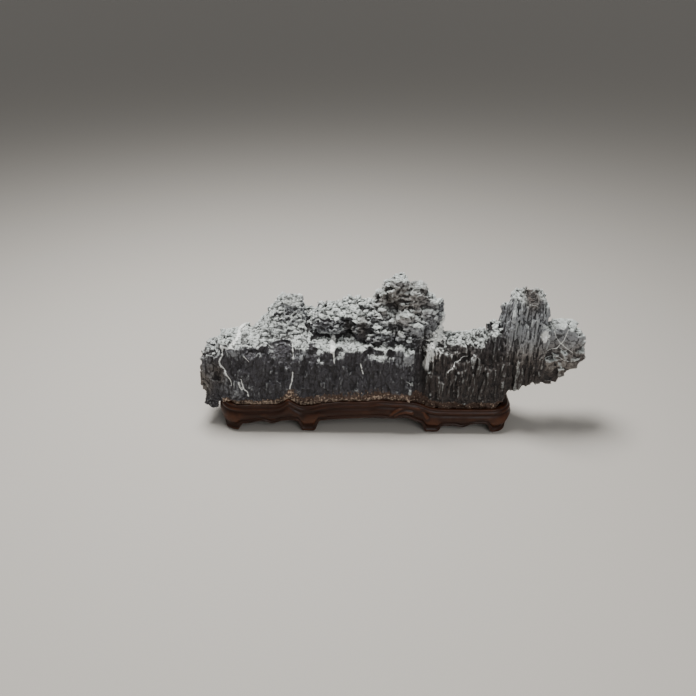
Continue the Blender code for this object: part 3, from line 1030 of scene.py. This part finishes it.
def make_stand():
    reach = STAND_CORNER * math.pi / 2 + (STAND_BACK - STAND_FRONT) / 2 - STAND_CORNER
    first = STAND_LEFT + STAND_CORNER - reach
    last = STAND_RIGHT - STAND_CORNER + reach
    along = np.linspace(first, last, int((last - first) / STATION_STEP))
    rings = stand_rings(along)
    faces = stand_faces(len(rings), len(rings[0]), len(along))
    stand = new_object("carved_stand", np.concatenate(rings), faces)
    subdivide = stand.modifiers.new("smooth_carving", "SUBSURF")
    subdivide.levels = subdivide.render_levels = 1
    apply_modifiers(stand)
    carve_scroll(stand.data)
    paint_stand(stand.data)
    stand.data.shade_smooth()
    return stand


def carve_scroll(mesh):
    """Raises the scroll's strokes in front, with a shallow groove along each."""
    points = mesh_points(mesh)
    normals = mesh_normals(mesh)
    on_front = smooth_step(-normals[:, 1], 0.0, 0.5)
    raised = np.zeros(len(points))
    for stroke in SCROLL:
        near = path_distance(points, stroke)[0] / SCROLL_HALF_WIDTH
        raised = np.maximum(raised, np.exp(-(near**2)) - 0.35 * np.exp(-((near - 2) ** 2) * 2))
    set_points(mesh, points + (SCROLL_HEIGHT * raised * on_front)[:, None] * normals)
    # Where the strokes are, for their painted highlight
    set_attribute(mesh, "scroll", np.maximum(raised, 0) * on_front)


# Where a foot's knee gets a painted highlight.
KNEE_HIGHLIGHT_HALF_WIDTH = 11.0
KNEE_HIGHLIGHT_HEIGHT = 17.0
KNEE_HIGHLIGHT_HALF_HEIGHT = 8.0


def paint_stand(mesh):
    """Writes what the stand's material reads: its crevices, for painted shade and highlight,
    and where its knees get a painted highlight.
    """
    points = mesh_points(mesh)
    normals = mesh_normals(mesh)
    dip = ((smoothed(points, mesh_edges(mesh), rounds=8) - points) * normals).sum(axis=1)
    set_attribute(mesh, "crevice", np.clip(dip / 0.5, -1, 1))
    across = np.exp(-((foot_distance(points[:, 0]) / KNEE_HIGHLIGHT_HALF_WIDTH) ** 2))
    up = np.exp(-(((points[:, 2] - KNEE_HIGHLIGHT_HEIGHT) / KNEE_HIGHLIGHT_HALF_HEIGHT) ** 2))
    set_attribute(mesh, "knee", across * up)


# Materials


class Graph:
    """Short names for making and joining a material's nodes."""

    def __init__(self, name):
        self.material = bpy.data.materials.new(name)
        self.material.use_nodes = True
        self.tree = self.material.node_tree
        self.shader = self.tree.nodes["Principled BSDF"]
        self.place = self.add("ShaderNodeTexCoord", {}).outputs["Object"]

    def fill(self, node, given):
        """Sets or links the node's inputs, given by their name or number."""
        for key, value in given.items():
            socket = node.inputs[key]
            if isinstance(value, bpy.types.NodeSocket):
                self.tree.links.new(value, socket)
            elif socket.type == "RGBA":
                socket.default_value = (*value, 1)
            else:
                socket.default_value = value

    def add(self, kind, given, **settings):
        node = self.tree.nodes.new(kind)
        for key, value in settings.items():
            setattr(node, key, value)
        self.fill(node, given)
        return node

    def math(self, operation, a, b=0.0):
        return self.add("ShaderNodeMath", {0: a, 1: b}, operation=operation).outputs[0]

    def sum(self, *terms):
        """The sum of (value, weight) terms."""
        total = 0.0
        for value, weight in terms:
            total = self.math("ADD", total, self.math("MULTIPLY", value, weight))
        return total

    def centred(self, value):
        return self.math("SUBTRACT", value, 0.5)

    def mix(self, factor, a, b):
        given = {"Factor": factor, 6: a, 7: b}
        return self.add("ShaderNodeMix", given, data_type="RGBA").outputs[2]

    def span(self, value, low, high, to_low=0.0, to_high=1.0):
        """value mapped smoothly from one range to another, and held inside it."""
        given = dict(enumerate((value, low, high, to_low, to_high)))
        return self.add("ShaderNodeMapRange", given, interpolation_type="SMOOTHSTEP").outputs[0]

    def attribute(self, name):
        return self.add("ShaderNodeAttribute", {}, attribute_name=name).outputs["Fac"]

    def shrunk(self, place, size, stretch=(1, 1, 1)):
        """The place counted in sizes of so many millimetres, stretched along X, Y and Z."""
        scale = [1 / (size * MM * s) for s in stretch]
        return self.add("ShaderNodeMapping", {"Vector": place, "Scale": scale}).outputs[0]

    def noise(self, size, detail=3.0, roughness=0.55, stretch=(1, 1, 1), distortion=0.0):
        """Noise whose features are about size millimetres across."""
        given = {
            "Vector": self.shrunk(self.place, size, stretch),
            "Scale": 1,
            "Detail": detail,
            "Roughness": roughness,
            "Distortion": distortion,
        }
        return self.add("ShaderNodeTexNoise", given).outputs["Fac"]

    def cracks(self, size):
        """1 in the cracks between crooked pieces about size millimetres across, 0 off them."""
        given = {"Vector": self.place, "Scale": 1 / (size * MM)}
        crooked = self.add("ShaderNodeTexNoise", given).outputs["Color"]
        given = {0: crooked, 1: (size * MM,) * 3, 2: self.place}
        shifted = self.add("ShaderNodeVectorMath", given, operation="MULTIPLY_ADD").outputs[0]
        given = {"Vector": self.shrunk(shifted, size), "Scale": 1}
        pieces = self.add("ShaderNodeTexVoronoi", given, feature="DISTANCE_TO_EDGE")
        return self.span(pieces.outputs["Distance"], 0.02, 0.14, 1, 0)

    def bump(self, height, depth, under=None):
        """A bump of height (0 to 1) times depth in millimetres, on the one under it if given."""
        given = {"Distance": depth * MM, "Height": height}
        if under is not None:
            given["Normal"] = under
        return self.add("ShaderNodeBump", given).outputs["Normal"]


# Colours
DARK_STONE = (0.05, 0.047, 0.055)
BROWN_STONE = (0.046, 0.035, 0.031)
MID_STONE = (0.105, 0.107, 0.116)
GREY_STONE = (0.285, 0.297, 0.312)
WARM_GREY_STONE = (0.23, 0.2, 0.175)
PALE_LOW = (0.27, 0.293, 0.277)
PALE_HIGH = (0.62, 0.655, 0.64)
TAN_STONE = (0.25, 0.2, 0.15)
DARK_PATCH_STONE = (0.075, 0.062, 0.055)
# Painted shade in crevices and hollows, and the dark of cracks
SHADE_AND_CRACK_STONE = (0.022, 0.02, 0.02)
CALCITE = (0.93, 0.94, 0.91)
TAN_CRUST = (0.66, 0.5, 0.37)
DARK_CRUST = (0.1, 0.06, 0.042)


def stone_material():
    g = Graph("dark_limestone")
    dust_and_top_light = g.attribute("dust_and_top_light")
    crevice = g.attribute("crevice")
    hollow = g.attribute("hollow")
    blotch = g.centred(g.noise(9, 3))
    speckle = g.centred(g.noise(1.6, 4, 0.7))
    streak = g.noise(1.5, 4, 0.65, stretch=(1, 1, 5))
    ragged = g.centred(g.noise(2.5, 3))

    # Bare stone, streaked, paler in places, and with a painted highlight along its ridges
    face = g.mix(g.attribute("brown"), DARK_STONE, BROWN_STONE)
    streaks = g.span(streak, 0.48, 0.75, 0, 0.7)
    less_if_brown = g.span(g.attribute("brown"), 0, 1, 1, 0.5)
    face = g.mix(g.math("MULTIPLY", streaks, less_if_brown), face, MID_STONE)
    # Ridges get a painted highlight
    ridge_highlight = g.math("MULTIPLY", crevice, -1)
    lighter_and_highlight = g.sum((g.attribute("pale_patch"), 1.2), (ridge_highlight, 0.15), (blotch, 0.9), (speckle, 0.7))
    can_be_paler = g.span(g.attribute("pale_patch"), 0, 0.2)
    paler_stone = g.mix(g.attribute("brown"), GREY_STONE, WARM_GREY_STONE)
    face = g.mix(g.math("MULTIPLY", g.span(lighter_and_highlight, 0.05, 0.85), can_be_paler), face, paler_stone)

    # Pale dust with painted top light, in patches, darker patches and smudges
    patchy = g.sum((blotch, 1.3), (speckle, 1.6))
    dusty_and_lit = g.math("ADD", dust_and_top_light, g.math("MULTIPLY", patchy, g.span(dust_and_top_light, 0, 0.6, 0.25, 0.6)))
    # Less pale in crevices and hollows: painted shade
    dusty_and_lit = g.sum((dusty_and_lit, 1), (g.attribute("pale_patch"), 0.1), (crevice, -0.3), (hollow, -0.25))
    # The flecks are lighter on ridges: painted highlight
    flecks = g.sum((blotch, 0.9), (ragged, 0.9), (speckle, 1.5), (ridge_highlight, 0.25))
    pale = g.mix(g.span(flecks, -0.45, 0.5), PALE_LOW, PALE_HIGH)
    colour = g.mix(g.span(dusty_and_lit, 0.2, 0.95), face, pale)
    colour = g.mix(g.attribute("dark_patch"), colour, DARK_PATCH_STONE)
    smudge = g.math("MULTIPLY", g.attribute("smudge"), g.span(ragged, -0.3, 0.3, 0.5, 1))
    colour = g.mix(smudge, colour, TAN_STONE)

    # Painted shade in crevices and hollows, and dark hair cracks
    hairline = g.cracks(3.2)
    shade_and_cracks = g.sum((crevice, 0.8), (hollow, 0.5), (g.attribute("crack"), 0.4), (hairline, 0.22))
    colour = g.mix(g.span(shade_and_cracks, 0.1, 1.0, 0, 0.8), colour, SHADE_AND_CRACK_STONE)

    # Grains of crust, white calcite and its veins
    tan = g.sum((g.attribute("tan"), 1), (ragged, 1.9), (blotch, 0.8))
    grains = g.sum((g.centred(g.noise(3.4, 3, 0.65)), 1.7), (g.attribute("lace"), 0.2))
    crust = g.mix(g.span(grains, 0.09, 0.34), DARK_CRUST, TAN_CRUST)
    colour = g.mix(g.span(tan, 0.45, 0.8, 0, 0.9), colour, crust)
    white = g.sum((g.attribute("white"), 1), (ragged, 1))
    colour = g.mix(g.span(white, 0.35, 0.75, 0, 0.9), colour, CALCITE)
    side = g.math("ABSOLUTE", g.sum((g.attribute("vein_side"), 1), (ragged, 1.6)))
    side = g.sum((side, 1), (speckle, 1.2), (crevice, 0.4))
    vein = g.math("MULTIPLY", g.span(side, 0.5, 1.2, 1, 0), g.attribute("near_vein"))
    colour = g.mix(vein, colour, g.mix(g.span(flecks, -0.5, 0.1), PALE_HIGH, CALCITE))

    pits = g.bump(g.noise(2.2, 5, 0.65), 0.9, g.bump(hairline, -0.5))
    looks = {
        "Base Color": colour,
        "Roughness": g.span(speckle, -0.2, 0.2, 0.5, 0.75),
        "Specular IOR Level": 0.4,
        "Normal": g.bump(speckle, 0.4, pits),
    }
    g.fill(g.shader, looks)
    return g.material


DARK_WOOD = (0.012, 0.0036, 0.0015)
RED_WOOD = (0.026, 0.0074, 0.0026)
# Lighter wood for patina and for painted highlights on edges, knees and scroll
PATINA_AND_HIGHLIGHT_WOOD = (0.07, 0.023, 0.0085)


def wood_material():
    g = Graph("waxed_hardwood")
    crevice = g.attribute("crevice")
    bands = g.noise(7, 4, 0.6, stretch=(7, 1, 1), distortion=0.6)
    pores = g.noise(0.7, 3, 0.6, stretch=(14, 1, 1))
    patina = g.centred(g.noise(14, 3, 0.5))
    colour = g.mix(g.span(bands, 0.3, 0.7), DARK_WOOD, RED_WOOD)
    colour = g.mix(g.span(pores, 0.58, 0.72, 0, 0.6), colour, DARK_WOOD)
    # Painted highlight on the knees, the scroll and convex edges, with real patina
    knee_and_scroll_highlight = g.sum((g.attribute("knee"), 0.25), (g.attribute("scroll"), 0.15))
    lighter_and_highlight = g.sum((patina, 1.1), (crevice, -0.9), (knee_and_scroll_highlight, 1))
    colour = g.mix(g.span(lighter_and_highlight, 0.1, 0.8, 0, 0.75), colour, PATINA_AND_HIGHLIGHT_WOOD)
    # Painted shade in the carving's crevices
    colour = g.mix(g.span(crevice, 0.3, 1, 0, 0.6), colour, DARK_WOOD)
    looks = {
        "Base Color": colour,
        "Roughness": g.span(bands, 0.3, 0.7, 0.3, 0.42),
        "Specular IOR Level": 0.22,
        "Normal": g.bump(pores, 0.12),
    }
    g.fill(g.shader, looks)
    return g.material


FLOOR = (0.42, 0.4, 0.37)


def floor_material():
    g = Graph("pale_floor")
    g.fill(g.shader, {"Base Color": FLOOR, "Roughness": 0.7, "Specular IOR Level": 0.2})
    return g.material


# The camera, the lights and the floor

LIT_POINT = Vector((0, 0, 0.1))
WHITE = (1, 1, 1)
WARM_WHITE = (1, 0.985, 0.96)
SKY = (1, 0.99, 0.97)
SKY_STRENGTH = 0.26
FLOOR_REACH = 30000.0


def make_camera():
    """Looks along +Y, tilted down, with a slight roll."""
    forward = Vector((0, math.cos(CAMERA_DOWN), -math.sin(CAMERA_DOWN)))
    level_right = Vector((1, 0, 0))
    level_up = level_right.cross(forward)
    right = math.cos(CAMERA_ROLL) * level_right + math.sin(CAMERA_ROLL) * level_up
    up = math.cos(CAMERA_ROLL) * level_up - math.sin(CAMERA_ROLL) * level_right
    camera = bpy.data.objects.new("camera", bpy.data.cameras.new("camera"))
    camera.data.sensor_width = SENSOR_WIDTH
    camera.data.lens = FOCAL_LENGTH
    turned = Matrix((right, up, -forward)).transposed().to_4x4()
    place = Vector(to_row((0, -CAMERA_DISTANCE, CAMERA_HEIGHT)))
    camera.matrix_world = Matrix.Translation(place) @ turned
    bpy.context.scene.collection.objects.link(camera)
    bpy.context.scene.camera = camera


def area_light(name, place, size, power, colour):
    """A square light of that size, in metres, that looks at LIT_POINT."""
    light = bpy.data.objects.new(name, bpy.data.lights.new(name, "AREA"))
    light.data.size = size
    light.data.energy = power
    light.data.color = colour
    light.location = place
    light.rotation_mode = "QUATERNION"
    look = LIT_POINT - Vector(place)
    light.rotation_quaternion = look.to_track_quat("-Z", "Y")
    bpy.context.scene.collection.objects.link(light)


def make_lights():
    area_light("key", (-0.3, 0.2, 1.3), size=0.5, power=34, colour=WARM_WHITE)
    area_light("front_fill", (0.55, -1.3, 0.95), size=1.0, power=10, colour=WHITE)
    world = bpy.data.worlds.new("studio")
    world.use_nodes = True
    background = world.node_tree.nodes["Background"]
    background.inputs["Color"].default_value = (*SKY, 1)
    background.inputs["Strength"].default_value = SKY_STRENGTH
    bpy.context.scene.world = world


def make_floor():
    far = FLOOR_REACH
    corners = [(-far, -far, 0), (far, -far, 0), (far, far, 0), (-far, far, 0)]
    floor = new_object("floor", corners, [(0, 1, 2, 3)])
    floor.data.materials.append(floor_material())


rock = make_rock()
rock.data.materials.clear()
rock.data.materials.append(stone_material())
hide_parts("stone")
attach(rock, "root")

stand = make_stand()
stand.data.materials.append(wood_material())
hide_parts("stand")
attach(stand, "root")

make_camera()
make_lights()
make_floor()

bpy.context.view_layer.update()
